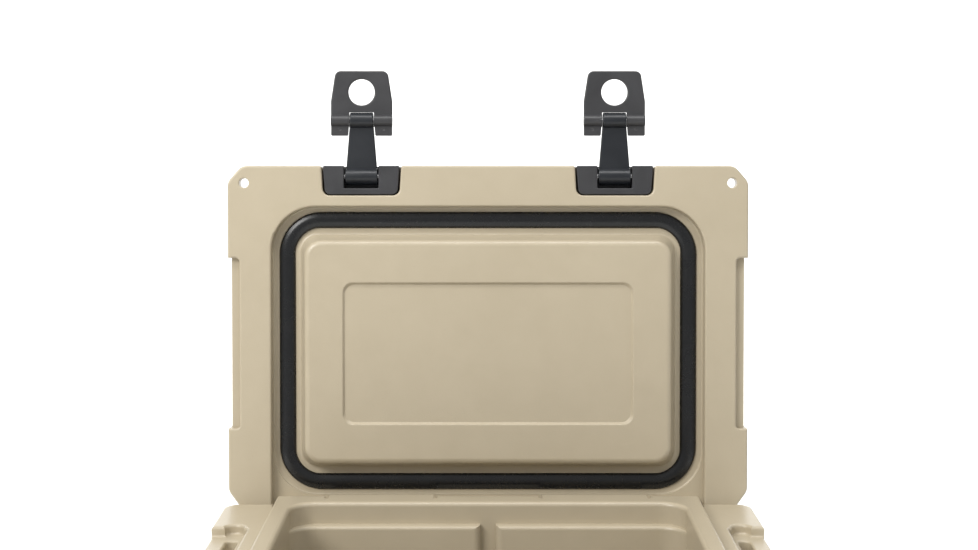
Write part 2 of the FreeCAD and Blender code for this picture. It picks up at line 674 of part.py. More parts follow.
def latch_link(side):
    """The strap between the housing's pin and the lever's pin, a barrel at each end."""
    x = side * LATCH_X
    far = LINK_Y - LINK_LENGTH
    wide = 15.9
    slim = 11.4
    plan = [(x - wide, LINK_Y), (x - slim, far), (x + slim, far), (x + wide, LINK_Y)]
    strap = prism(plan, 0, LINK_Z - 3.0, LINK_Z + 3.0)
    flat = [e for e in strap.Edges if e.BoundBox.YLength > 5 and e.BoundBox.ZLength < 0.01]
    strap = strap.makeFillet(1.2, flat)
    near_barrel = bar_x(x - wide, x + wide, LINK_Y, LINK_Z, 8.5)
    far_barrel = bar_x(x - slim, x + slim, far, LINK_Z, 7.9)
    near_barrel = near_barrel.makeFillet(0.8, [e for e in near_barrel.Edges if e.BoundBox.XLength < 0.01])
    far_barrel = far_barrel.makeFillet(0.8, [e for e in far_barrel.Edges if e.BoundBox.XLength < 0.01])
    shape = union([strap, near_barrel, far_barrel])
    return cut_all(shape, [bar_x(x - 20, x + 20, LINK_Y, LINK_Z, LINK_PIN_R + RUN),
                           bar_x(x - 20, x + 20, far, LINK_Z, LEVER_PIN_R + RUN)])


def link_pin(side):
    x = side * LATCH_X
    return bar_x(x - 22.5, x + 22.5, LINK_Y, LINK_Z, LINK_PIN_R)


def latch_lever(side):
    """The pull lever: a forked barrel, a plate with a finger hole, and two tabs that hook the keeper."""
    x = side * LATCH_X
    pivot = LINK_Y - LINK_LENGTH
    tip = pivot - LEVER_LENGTH
    half = LEVER_HALF
    plan = [(x - half, pivot), (x - half, pivot - 19), (x - half + 4.6, tip), (x + half - 4.6, tip),
            (x + half, pivot - 19), (x + half, pivot)]
    plate = prism(plan, [0, 6, 6, 6, 6, 0], LINK_Z - 2.6, LINK_Z + 2.6)
    hole = bar_z(x, pivot - LEVER_HOLE_AT, LINK_Z - 9, LINK_Z + 9, LEVER_HOLE_R)
    plate = plate.cut(hole)
    rims = [e for e in plate.Edges if e.BoundBox.ZLength < 0.01 and e.BoundBox.YMin < pivot - 1]
    plate = plate.makeFillet(1.5, rims)
    end = pivot + TAB_LENGTH - 0.2
    tab = prism([(FORK_HALF + 0.1, pivot), (half - 0.2, pivot), (half - 0.2, end), (FORK_HALF + 1.3, end)],
                0, LINK_Z - 2.5, LINK_Z + 2.5)
    tabs = [t.translated(Vec(x, 0, 0)) for t in both_sides(tab)]
    tabs = [t.makeFillet(1.2, [e for e in t.Edges if e.BoundBox.YMin > pivot + 1]) for t in tabs]
    barrel = bar_x(x - half, x + half, pivot, LINK_Z, LEVER_BARREL_R)
    barrel = barrel.makeFillet(0.8, [e for e in barrel.Edges if e.BoundBox.XLength < 0.01])
    shape = union([plate, barrel] + tabs)
    fork = box(x - FORK_HALF, x + FORK_HALF, pivot - 8.2, pivot + 30, LINK_Z - 15, LINK_Z + 15)
    return cut_all(shape, [fork, bar_x(x - 29.4, x + 29.4, pivot, LINK_Z, LEVER_PIN_R + RUN)])


def lever_pin(side):
    x = side * LATCH_X
    return bar_x(x - 29.2, x + 29.2, LINK_Y - LINK_LENGTH, LINK_Z, LEVER_PIN_R)


def keeper(side):
    """The plate on the niche's back wall, with the two lips that the lever's tabs hook under."""
    x = side * LATCH_X
    front = KEEPER_FRONT
    base = KEEPER_LIP_Z - 11.0
    plate = prism([(x - 36, front), (x + 36, front), (x + 36, NICHE_BACK), (x - 36, NICHE_BACK)], 0,
                  base, KEEPER_LIP_Z + 19.0)
    lips = [box(x + s * 24.0 - 9.0, x + s * 24.0 + 9.0,
                -165.5, front + 0.5, KEEPER_LIP_Z, KEEPER_LIP_Z + 5.0)
            for s in (-1, 1)]
    lips = [lip.makeFillet(1.5, [e for e in lip.Edges if e.BoundBox.YMax < -160]) for lip in lips]
    shape = union([plate] + lips)
    holes = []
    for offset in (-KEEPER_SCREW_X, KEEPER_SCREW_X):
        holes.append(bar_y(x + offset, -150.0, NICHE_BACK + 1, KEEPER_SCREW_Z, 2.2))
    return cut_all(shape, holes)


def keeper_screws(side):
    x = side * LATCH_X
    screws = []
    front = KEEPER_FRONT
    z = KEEPER_SCREW_Z
    for offset in (-KEEPER_SCREW_X, KEEPER_SCREW_X):
        head = bar_y(x + offset, front - 2.2, front - 0.05, z, 4.0)
        head = head.makeFillet(1.0, [e for e in head.Edges if e.BoundBox.YMax < front - 2])
        head = head.cut(box(x + offset - 0.6, x + offset + 0.6, front - 3, front - 1, z - 3, z + 3))
        screws.append(union([head, bar_y(x + offset, front - 0.1, NICHE_BACK + 3.2, z, 2.0)]))
    return screws


# ---- drain ----

def drain_ring(x0, x1, outer, inner):
    return bar_x(x0, x1, DRAIN_Y, DRAIN_Z, outer).cut(bar_x(x0 - 1, x1 + 1, DRAIN_Y, DRAIN_Z, inner))


def drain_bushing():
    wall_x = CAVITY_HALF
    flange = bar_x(wall_x - 4.5, wall_x - 1.7, DRAIN_Y, DRAIN_Z, 19.0)
    tube = bar_x(wall_x - 4.5, 240.0, DRAIN_Y, DRAIN_Z, 13.0)
    return union([flange, tube]).cut(bar_x(170.0, 250.0, DRAIN_Y, DRAIN_Z, DRAIN_R))


def drain_washer():
    wall_x = CAVITY_HALF
    return drain_ring(wall_x - 1.65, wall_x - 0.05, 18.5, 13.2)


def drain_nut():
    hexagon = [Vec(DRAIN_POCKET_X + 0.1, DRAIN_Y + 21 * math.cos(a), DRAIN_Z + 21 * math.sin(a))
               for a in [math.radians(60 * k) for k in range(6)]]
    block = Part.Face(Part.makePolygon(hexagon + hexagon[:1])).extrude(Vec(7.0, 0, 0))
    return block.cut(bar_x(220.0, 250.0, DRAIN_Y, DRAIN_Z, 13.1))


def drain_plug():
    """The screw plug: a stem in the bushing, a round head and a wing to turn it by."""
    stem = bar_x(226.0, 243.0, DRAIN_Y, DRAIN_Z, DRAIN_R - RUN)
    head = bar_x(242.2, 246.5, DRAIN_Y, DRAIN_Z, 17.0)
    head = head.makeFillet(1.2, [e for e in head.Edges if e.BoundBox.XMin > 246])
    wing = box(246.0, 250.5, DRAIN_Y - 14.0, DRAIN_Y + 14.0, DRAIN_Z - 2.5, DRAIN_Z + 2.5)
    wing = wing.makeFillet(1.5, [e for e in wing.Edges if e.BoundBox.XMin > 250])
    return union([stem, head, wing])


def drain_plug_seal():
    return drain_ring(240.1, 242.1, 13.5, DRAIN_R + 0.1)


# ---- feet ----

def rubber_foot(x, y):
    pad = prism(foot_plan(x, y, 0), 10.0, -FOOT_BELOW, FOOT_POCKET_Z)
    pad = pad.makeFillet(1.5, [e for e in pad.Edges if e.BoundBox.ZMax < -FOOT_BELOW + 0.1])
    return pad.cut(bar_z(x, y, -20.0, 2.0 - FOOT_BELOW + 3.0, 5.0)).cut(bar_z(x, y, -10.0, 20.0, 2.3))


def foot_screws():
    screws = []
    for x, y in foot_places():
        seat = 5.0 - FOOT_BELOW
        head = bar_z(x, y, seat - 2.4, seat - 0.05, 4.2)
        screws.append(union([head, bar_z(x, y, seat - 0.1, FOOT_POCKET_Z + 3.2, 2.0)]))
    return screws


def save(name, shape):
    if isinstance(shape, list):
        shape = Part.makeCompound(shape)
    shape.exportStep("parts/" + name + ".step")


os.makedirs("parts", exist_ok=True)

save("body_shell", body_shell())
save("body_foam", body_foam())
save("body_fill_plug", body_fill_plug())
for x, y in foot_places():
    place = ("front" if y < 0 else "rear") + ("_left" if x < 0 else "_right")
    save("rubber_foot_" + place, rubber_foot(x, y))
save("foot_screws", foot_screws())
save("drain_bushing", drain_bushing())
save("drain_washer", drain_washer())
save("drain_nut", drain_nut())
save("drain_plug", drain_plug())
save("drain_plug_seal", drain_plug_seal())
save("hinge_rod", hinge_rod())
save("hinge_caps", [opened(s) for s in hinge_caps()])
save("lid_shell", opened(lid_shell()))
save("lid_foam", opened(lid_foam()))
save("lid_fill_plugs", [opened(s) for s in lid_fill_plugs()])
save("lid_gasket", opened(lid_gasket()))
for name, side in (("left", -1), ("right", 1)):
    save("keeper_" + name, keeper(side))
    save("keeper_screws_" + name, keeper_screws(side))
    save("latch_housing_" + name, opened(latch_housing(side)))
    save("housing_screws_" + name, [opened(s) for s in housing_screws(side)])
    save("latch_link_" + name, opened(latch_link(side)))
    save("link_pin_" + name, opened(link_pin(side)))
    save("latch_lever_" + name, opened(latch_lever(side)))
    save("lever_pin_" + name, opened(lever_pin(side)))
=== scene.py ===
import json
import math

import bmesh
import bpy
from mathutils import Matrix, Vector


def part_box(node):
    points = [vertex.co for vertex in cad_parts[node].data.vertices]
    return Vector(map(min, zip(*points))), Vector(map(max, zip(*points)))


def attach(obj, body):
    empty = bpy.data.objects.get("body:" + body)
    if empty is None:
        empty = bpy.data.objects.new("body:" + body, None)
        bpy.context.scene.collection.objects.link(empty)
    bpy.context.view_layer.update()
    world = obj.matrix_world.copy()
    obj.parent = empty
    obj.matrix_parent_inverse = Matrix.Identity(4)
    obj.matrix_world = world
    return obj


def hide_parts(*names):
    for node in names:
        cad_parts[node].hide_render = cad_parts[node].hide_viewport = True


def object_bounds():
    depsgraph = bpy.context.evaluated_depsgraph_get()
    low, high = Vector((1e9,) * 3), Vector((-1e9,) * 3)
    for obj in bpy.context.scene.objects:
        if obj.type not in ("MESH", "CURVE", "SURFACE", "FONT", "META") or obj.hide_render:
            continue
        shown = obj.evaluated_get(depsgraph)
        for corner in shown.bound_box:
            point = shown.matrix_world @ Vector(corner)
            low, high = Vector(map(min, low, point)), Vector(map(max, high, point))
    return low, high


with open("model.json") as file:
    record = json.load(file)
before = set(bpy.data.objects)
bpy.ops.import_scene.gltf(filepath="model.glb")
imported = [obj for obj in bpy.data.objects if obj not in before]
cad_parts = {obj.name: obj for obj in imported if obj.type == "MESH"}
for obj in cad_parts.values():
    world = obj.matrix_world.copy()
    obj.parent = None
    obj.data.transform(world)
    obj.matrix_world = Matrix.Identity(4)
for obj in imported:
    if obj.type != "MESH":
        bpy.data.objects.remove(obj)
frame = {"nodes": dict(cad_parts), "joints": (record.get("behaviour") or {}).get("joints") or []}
cad_low, cad_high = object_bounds()
nodes = frame["nodes"]


# ---- studio ----
# The chest stands open on a pale sweep. The camera looks over its front edge, a little down into the lid.
# One wide soft box hangs high on the left and one overhead, a weak one fills from the right, and one behind
# the chest washes the sweep white.
def hinge_place():
    joint = next(j for j in frame["joints"] if j["name"] == "lid_hinge")
    return Vector(joint["pos_m"])


LENS = 59.5
CAMERA_BACK = 1.556
CAMERA_ABOVE = 0.413
CAMERA_DOWN = 6.53

hinge = hinge_place()
camera_data = bpy.data.cameras.new("camera")
camera = bpy.data.objects.new("camera", camera_data)
bpy.context.scene.collection.objects.link(camera)
bpy.context.scene.camera = camera
camera_data.lens = LENS
camera_data.sensor_width = 36.0
camera_data.clip_end = 50.0
camera.location = (0.001, hinge.y - CAMERA_BACK, hinge.z + CAMERA_ABOVE)
camera.rotation_euler = (math.radians(90.0 - CAMERA_DOWN), 0.0, 0.0)

bpy.context.scene.view_settings.view_transform = "Standard"

PALE = (0.93, 0.93, 0.92, 1.0)
FLOOR_DROP = 0.0005
SWEEP_HALF = 6.0
SWEEP_BACK = 4.0
SWEEP_BEND = 1.2
SWEEP_TOP = 5.0


def pale_sweep():
    """A floor that runs back from the chest and curves up into a wall."""
    floor_z = cad_low.z - FLOOR_DROP
    profile = [(-SWEEP_HALF, floor_z), (SWEEP_BACK, floor_z)]
    for step in range(1, 13):
        turn = math.radians(90.0 * step / 12)
        along = SWEEP_BACK + SWEEP_BEND * math.sin(turn)
        profile.append((along, floor_z + SWEEP_BEND * (1 - math.cos(turn))))
    profile.append((SWEEP_BACK + SWEEP_BEND, SWEEP_TOP))
    mesh = bmesh.new()
    left = [mesh.verts.new((-SWEEP_HALF, y, z)) for y, z in profile]
    right = [mesh.verts.new((SWEEP_HALF, y, z)) for y, z in profile]
    for i in range(len(profile) - 1):
        mesh.faces.new((left[i], right[i], right[i + 1], left[i + 1]))
    data = bpy.data.meshes.new("sweep")
    mesh.to_mesh(data)
    mesh.free()
    data.shade_smooth()
    sweep = bpy.data.objects.new("sweep", data)
    bpy.context.scene.collection.objects.link(sweep)
    paint = bpy.data.materials.new("sweep_paint")
    paint.use_nodes = True
    coat = paint.node_tree.nodes["Principled BSDF"]
    coat.inputs["Base Color"].default_value = PALE
    coat.inputs["Roughness"].default_value = 0.9
    coat.inputs["Specular IOR Level"].default_value = 0.1
    data.materials.append(paint)


def soft_box(name, at, towards, size, watts, tint):
    lamp = bpy.data.lights.new(name, "AREA")
    lamp.shape = "RECTANGLE"
    lamp.size, lamp.size_y = size
    lamp.energy = watts
    lamp.color = tint
    light = bpy.data.objects.new(name, lamp)
    light.location = at
    aim = Vector(towards) - Vector(at)
    light.rotation_euler = aim.to_track_quat("-Z", "Y").to_euler()
    bpy.context.scene.collection.objects.link(light)


pale_sweep()
soft_box("key_box", (-1.7, -1.6, 2.1), (0.0, 0.15, 0.35), (1.3, 1.0), 58.0, (1.0, 0.99, 0.975))
soft_box("top_box", (0.1, -0.55, 2.4), (0.0, 0.1, 0.4), (2.0, 0.5), 26.0, (1.0, 1.0, 1.0))
soft_box("fill_box", (2.0, -1.2, 1.5), (0.0, 0.1, 0.4), (1.2, 1.2), 2.0, (0.96, 0.98, 1.0))
soft_box("sweep_box", (0.0, 2.9, 3.0), (0.0, 4.4, 0.0), (4.5, 1.4), 165.0, (1.0, 1.0, 1.0))
room = bpy.data.worlds.new("pale_room")
bpy.context.scene.world = room
room.use_nodes = True
room.node_tree.nodes["Background"].inputs["Color"].default_value = (1.0, 1.0, 1.0, 1.0)
room.node_tree.nodes["Background"].inputs["Strength"].default_value = 0.47


# ---- body shell ----
# The body is one hollow rotomoulded skin of polyethylene, about 4 mm thick, with its sealing rim, side grips,
# latch niches and hinge knuckles moulded in. The mould's blasted face leaves a fine, slightly cloudy satin.
def blank_finish(name):
    finish = bpy.data.materials.new(name)
    finish.use_nodes = True
    tree = finish.node_tree
    return finish, tree, tree.nodes["Principled BSDF"]


def put_on(finish, *names):
    """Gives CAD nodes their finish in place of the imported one."""
    for name in names:
        data = nodes[name].data
        data.materials.clear()
        data.materials.append(finish)
        for face in data.polygons:
            face.material_index = 0


def place_of(tree, stretch=(1.0, 1.0, 1.0), turn=(0.0, 0.0, 0.0)):
    """The piece's own coordinates, stretched and turned, so that a pattern stays on the piece as it moves."""
    coordinates = tree.nodes.new("ShaderNodeTexCoord")
    mapping = tree.nodes.new("ShaderNodeMapping")
    mapping.inputs["Scale"].default_value = stretch
    mapping.inputs["Rotation"].default_value = turn
    tree.links.new(coordinates.outputs["Object"], mapping.inputs["Vector"])
    return mapping.outputs["Vector"]


def grain(tree, place, scale, detail=3.0, rough=0.5, distortion=0.0):
    noise = tree.nodes.new("ShaderNodeTexNoise")
    noise.inputs["Scale"].default_value = scale
    noise.inputs["Detail"].default_value = detail
    noise.inputs["Roughness"].default_value = rough
    noise.inputs["Distortion"].default_value = distortion
    tree.links.new(place, noise.inputs["Vector"])
    return noise.outputs["Fac"]


def spread(tree, value, low, high, to_low, to_high):
    """Carries a value from one range to another, held at its ends."""
    ranged = tree.nodes.new("ShaderNodeMapRange")
    for socket, number in zip(("From Min", "From Max", "To Min", "To Max"), (low, high, to_low, to_high)):
        ranged.inputs[socket].default_value = number
    tree.links.new(value, ranged.inputs["Value"])
    return ranged.outputs["Result"]


def sum_of(tree, one, other, operation="ADD"):
    maths = tree.nodes.new("ShaderNodeMath")
    maths.operation = operation
    for i, part in enumerate((one, other)):
        if isinstance(part, float):
            maths.inputs[i].default_value = part
        else:
            tree.links.new(part, maths.inputs[i])
    return maths.outputs["Value"]


def blended(tree, share, first, second):
    """A colour between two others, each a colour or a socket."""
    mix = tree.nodes.new("ShaderNodeMix")
    mix.data_type = "RGBA"
    tree.links.new(share, mix.inputs["Factor"])
    for socket, colour in ((mix.inputs[6], first), (mix.inputs[7], second)):
        if isinstance(colour, tuple):
            socket.default_value = (*colour, 1.0)
        else:
            tree.links.new(colour, socket)
    return mix.outputs[2]


def raised(tree, skin, height, depth, strength=1.0, under=None):
    """Turns a height in 0..1 into a bump of that depth in metres on the skin."""
    bump = tree.nodes.new("ShaderNodeBump")
    bump.inputs["Distance"].default_value = depth
    bump.inputs["Strength"].default_value = strength
    tree.links.new(height, bump.inputs["Height"])
    if under is not None:
        tree.links.new(under, bump.inputs["Normal"])
    tree.links.new(bump.outputs["Normal"], skin.inputs["Normal"])
    return bump.outputs["Normal"]


def rubbed_and_highlit_edges(tree, radius, low, high):
    """Near 1 along sharp and tight edges and 0 on flats. The finishes lighten the colour there for rubbing by
    hands and other gear; on the tan shells this lightening is also a painted highlight along the rounded
    edges.
    """
    eased = tree.nodes.new("ShaderNodeBevel")
    eased.samples = 4
    eased.inputs["Radius"].default_value = radius
    facing = tree.nodes.new("ShaderNodeNewGeometry")
    dot = tree.nodes.new("ShaderNodeVectorMath")
    dot.operation = "DOT_PRODUCT"
    tree.links.new(eased.outputs["Normal"], dot.inputs[0])
    tree.links.new(facing.outputs["Normal"], dot.inputs[1])
    return spread(tree, dot.outputs["Value"], high, low, 0.0, 1.0)


def tan_polyethylene(name, light_tan, deep_tan):
    finish, tree, skin = blank_finish(name)
    place = place_of(tree)
    clouds = grain(tree, place, 7.0, 3.0, 0.6, 0.4)
    blooms = grain(tree, place, 46.0, 4.0, 0.55)
    pellets = grain(tree, place, 640.0, 2.0, 0.6)
    broad = spread(tree, clouds, 0.3, 0.7, 0.0, 0.62)
    fine = spread(tree, blooms, 0.3, 0.7, 0.0, 0.38)
    mottle = sum_of(tree, broad, fine)
    colour = blended(tree, mottle, deep_tan, light_tan)
    fleck = spread(tree, pellets, 0.66, 0.78, 0.0, 0.32)
    colour = blended(tree, fleck, colour, tuple(0.80 * c for c in deep_tan))
    rubs = grain(tree, place_of(tree, (9.0, 90.0, 30.0), (0.3, 0.2, 0.5)), 3.0, 5.0, 0.7, 0.6)
    scuffed = spread(tree, rubs, 0.66, 0.74, 0.0, 0.20)
    pale = tuple(min(1.0, 1.12 * c) for c in light_tan)
    colour = blended(tree, scuffed, colour, pale)
    # The edges are lightened towards the pale tan: partly wear where hands and other gear rub, partly a
    # painted highlight along the rounded rims.
    edges = rubbed_and_highlit_edges(tree, 0.0016, 0.80, 0.98)
    colour = blended(tree, sum_of(tree, edges, 0.26, "MULTIPLY"), colour, pale)
    tree.links.new(colour, skin.inputs["Base Color"])
    sheen = sum_of(tree, spread(tree, blooms, 0.3, 0.7, 0.30, 0.37), scuffed)
    tree.links.new(sheen, skin.inputs["Roughness"])
    skin.inputs["Specular IOR Level"].default_value = 0.55
    skin.inputs["IOR"].default_value = 1.5
    waviness = raised(tree, skin, grain(tree, place, 24.0, 2.0, 0.4), 0.0003, 0.35)
    blasted = sum_of(tree, grain(tree, place, 1150.0, 3.0, 0.6), pellets)
    raised(tree, skin, blasted, 0.00010, 0.55, waviness)
    return finish


TAN_LIGHT = (0.462, 0.400, 0.290)
TAN_DEEP = (0.430, 0.369, 0.264)
shell_tan = tan_polyethylene("shell_tan", TAN_LIGHT, TAN_DEEP)
put_on(shell_tan, "body_shell", "lid_shell")


# ---- body foam ----
# Rigid polyurethane is poured between the two walls through a hole in the underside and sets there.
# It is pale yellow with fine closed cells, and nothing of it shows on a whole chest.
def poured_foam(name):
    finish, tree, skin = blank_finish(name)
    place = place_of(tree)
    cells = tree.nodes.new("ShaderNodeTexVoronoi")
    cells.inputs["Scale"].default_value = 700.0
    tree.links.new(place, cells.inputs["Vector"])
    swirls = grain(tree, place, 14.0, 4.0, 0.6, 1.2)
    tree.links.new(blended(tree, swirls, (0.86, 0.78, 0.52), (0.93, 0.88, 0.68)), skin.inputs["Base Color"])
    tree.links.new(spread(tree, swirls, 0.3, 0.7, 0.75, 0.9), skin.inputs["Roughness"])
    raised(tree, skin, cells.outputs["Distance"], 0.0004)
    return finish


put_on(poured_foam("foam_core"), "body_foam", "lid_foam")


# ---- fill plugs ----
# Discs pressed into the holes that the foam went in by: one below the body, two under the lid's hinge end.
# They are turned from the same resin as the shells but come from another batch, a shade greyer.
plug_tan = tan_polyethylene("plug_tan", (0.43, 0.37, 0.27), (0.39, 0.34, 0.25))
put_on(plug_tan, "body_fill_plug", "lid_fill_plugs")


# ---- rubber feet ----
# Four moulded rubber pads let into the underside, each held by one screw in a sunk seat.
# Ribs across the tread keep the chest from sliding; mould release leaves them dull and a little dusty.
def black_rubber(name, dark, dust, gloss_low, gloss_high, grain_scale, grain_depth):
    finish, tree, skin = blank_finish(name)
    place = place_of(tree)
    dusting = grain(tree, place, 38.0, 5.0, 0.65, 0.5)
    pores = grain(tree, place, grain_scale, 3.0, 0.6)
    colour = blended(tree, spread(tree, dusting, 0.45, 0.75, 0.0, 1.0), dark, dust)
    tree.links.new(colour, skin.inputs["Base Color"])
    tree.links.new(spread(tree, dusting, 0.3, 0.7, gloss_low, gloss_high), skin.inputs["Roughness"])
    skin.inputs["Specular IOR Level"].default_value = 0.45
    raised(tree, skin, pores, grain_depth, 0.6)
    return finish


foot_rubber = black_rubber("foot_rubber", (0.018, 0.018, 0.018), (0.060, 0.057, 0.052),
                           0.62, 0.85, 900.0, 0.00012)

FOOT_CORNER = 0.010
FOOT_RIBS = 7
RIB_GROOVE = 0.0016
RIB_STANDS = 0.0016
SCREW_SEAT_R = 0.005


def new_piece(name, mesh, finish, body, slot, *stands_for):
    """Makes an object of a finished bmesh, hides the CAD nodes it stands for and hangs it under its body."""
    bmesh.ops.recalc_face_normals(mesh, faces=mesh.faces)
    data = bpy.data.meshes.new(name)
    mesh.to_mesh(data)
    mesh.free()
    data.materials.append(finish)
    piece = bpy.data.objects.new(name, data)
    bpy.context.scene.collection.objects.link(piece)
    if stands_for:
        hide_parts(*stands_for)
    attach(piece, body)
    return piece


def round_corners(half_x, half_y, radius, steps=8):
    """Points of a rounded rectangle about the origin, anticlockwise."""
    points = []
    for quarter, (sx, sy) in enumerate(((1, 1), (-1, 1), (-1, -1), (1, -1))):
        for step in range(steps + 1):
            turn = math.radians(90.0 * (quarter + step / steps))
            points.append((sx * (half_x - radius) + radius * math.cos(turn),
                           sy * (half_y - radius) + radius * math.sin(turn)))
    return points


def ring_of(mesh, points, z):
    return [mesh.verts.new((x, y, z)) for x, y in points]


def bridge(mesh, one, other):
    count = len(one)
    for i in range(count):
        j = (i + 1) % count
        mesh.faces.new((one[i], one[j], other[j], other[i]))


def foot_pad(name):
    """A crowned pad round a sunk screw seat; the ribs of its tread are built by foot_tread."""
    low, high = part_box(name)
    middle = (low + high) / 2
    half_x = (high.x - low.x) / 2
    half_y = (high.y - low.y) / 2
    mesh = bmesh.new()
    rings = []
    for inset, z in ((0.0018, high.z), (0.0, high.z - 0.0015), (0.0, low.z + 0.0022),
                     (0.0006, low.z + 0.0010), (0.0018, low.z + 0.0002), (0.0030, low.z)):
        outline = round_corners(half_x - inset, half_y - inset, FOOT_CORNER - inset)
        rings.append(ring_of(mesh, outline, z))
    for one, other in zip(rings, rings[1:]):
        bridge(mesh, one, other)
    mesh.faces.new(rings[0])
    rim = rings[-1]
    seat = [mesh.verts.new((SCREW_SEAT_R * math.cos(a), SCREW_SEAT_R * math.sin(a), low.z))
            for a in [math.atan2(v.co.y, v.co.x) for v in rim]]
    bridge(mesh, rim, seat)
    floor_ring = [mesh.verts.new((v.co.x, v.co.y, low.z + 0.005)) for v in seat]
    bridge(mesh, seat, floor_ring)
    mesh.faces.new(floor_ring)
    bmesh.ops.translate(mesh, verts=mesh.verts, vec=(middle.x, middle.y, 0.0))
    pad = new_piece(name + "_pad", mesh, foot_rubber, "chest", "foot_rubber", name)
    pad.data.shade_smooth()
    pad.data.set_sharp_from_angle(angle=math.radians(38.0))
    return middle, half_x, half_y, low.z


def foot_tread(name, middle, half_x, half_y, floor_z):
    """The ribs that stand between the tread's grooves, left whole round the screw seat."""
    mesh = bmesh.new()
    pitch = 2 * (half_x - 0.005) / FOOT_RIBS
    for k in range(FOOT_RIBS):
        x = -half_x + 0.005 + pitch * (k + 0.5)
        spans = [(-half_y + 0.004, half_y - 0.004)]
        if abs(x) < SCREW_SEAT_R + 0.003:
            spans = [(-half_y + 0.004, -SCREW_SEAT_R - 0.003), (SCREW_SEAT_R + 0.003, half_y - 0.004)]
        for y0, y1 in spans:
            rib = bmesh.ops.create_cube(mesh, size=1.0)["verts"]
            bmesh.ops.scale(mesh, verts=rib, vec=(pitch - RIB_GROOVE, y1 - y0, RIB_STANDS))
            place = (middle.x + x, middle.y + (y0 + y1) / 2, floor_z + RIB_STANDS / 2)
            bmesh.ops.translate(mesh, verts=rib, vec=place)
    bmesh.ops.bevel(mesh, geom=mesh.edges, offset=0.0004, segments=2, affect="EDGES")
    tread = new_piece(name + "_tread", mesh, foot_rubber, "chest", "foot_rubber")
    tread.data.shade_smooth()


for corner in ("front_left", "front_right", "rear_left", "rear_right"):
    foot = "rubber_foot_" + corner
    foot_tread(foot, *foot_pad(foot))


# ---- screws, pins and rod ----
# The fasteners and pins are stainless steel: drawn wire for the pins and the hinge rod, cold-headed screws.
# They are bright, with fine drawing lines and a faint grey film.
def stainless(name):
    finish, tree, skin = blank_finish(name)
    lines = grain(tree, place_of(tree, (60.0, 2600.0, 2600.0)), 1.0, 3.0, 0.6)
    film = grain(tree, place_of(tree), 120.0, 4.0, 0.6)
    tree.links.new(blended(tree, film, (0.50, 0.50, 0.52), (0.66, 0.66, 0.67)), skin.inputs["Base Color"])
    gloss = sum_of(tree, spread(tree, film, 0.3, 0.7, 0.20, 0.34), spread(tree, lines, 0.3, 0.7, 0.0, 0.10))
    tree.links.new(gloss, skin.inputs["Roughness"])
    skin.inputs["Metallic"].default_value = 1.0
    raised(tree, skin, lines, 0.00002, 0.5)
    return finish


steel = stainless("steel")
put_on(steel, "foot_screws", "hinge_rod", "keeper_screws_left", "keeper_screws_right", "housing_screws_left",
       "housing_screws_right", "link_pin_left", "link_pin_right", "lever_pin_left", "lever_pin_right")


# ---- drain ----
# A threaded bushing passes through the wall and clamps it between its flange, a washer and a hexagonal nut.
# The plug screws in from outside against a rubber ring; its scalloped head carries a wing to turn it by.
def moulded_nylon(name, dark, lighter, gloss_low, gloss_high, spark_scale, spark_depth):
    finish, tree, skin = blank_finish(name)
    place = place_of(tree)
    flow = grain(tree, place, 22.0, 4.0, 0.6, 0.8)
    spark = grain(tree, place, spark_scale, 2.0, 0.65)
    colour = blended(tree, spread(tree, flow, 0.3, 0.7, 0.0, 1.0), dark, lighter)
    edges = rubbed_and_highlit_edges(tree, 0.0007, 0.75, 0.98)
    colour = blended(tree, sum_of(tree, edges, 0.45, "MULTIPLY"), colour, tuple(2.1 * c for c in lighter))
    tree.links.new(colour, skin.inputs["Base Color"])
    tree.links.new(spread(tree, flow, 0.3, 0.7, gloss_low, gloss_high), skin.inputs["Roughness"])
    skin.inputs["Specular IOR Level"].default_value = 0.5
    raised(tree, skin, spark, spark_depth, 0.6)
    return finish


fitting_black = moulded_nylon("drain_black", (0.030, 0.030, 0.032), (0.042, 0.042, 0.045),
                              0.42, 0.55, 1100.0, 0.00008)
put_on(fitting_black, "drain_bushing", "drain_nut")
ring_rubber = black_rubber("seal_rubber", (0.020, 0.020, 0.021), (0.034, 0.034, 0.034),
                           0.40, 0.55, 1200.0, 0.00004)
put_on(ring_rubber, "drain_washer", "drain_plug_seal")

PLUG_HEAD_R = 0.0170
PLUG_SCALLOPS = 18
PLUG_SIDES = 144
PLUG_STEM_R = 0.00894
PLUG_TURNS = 5
WING_SIZE = (0.0062, 0.0270, 0.0050)


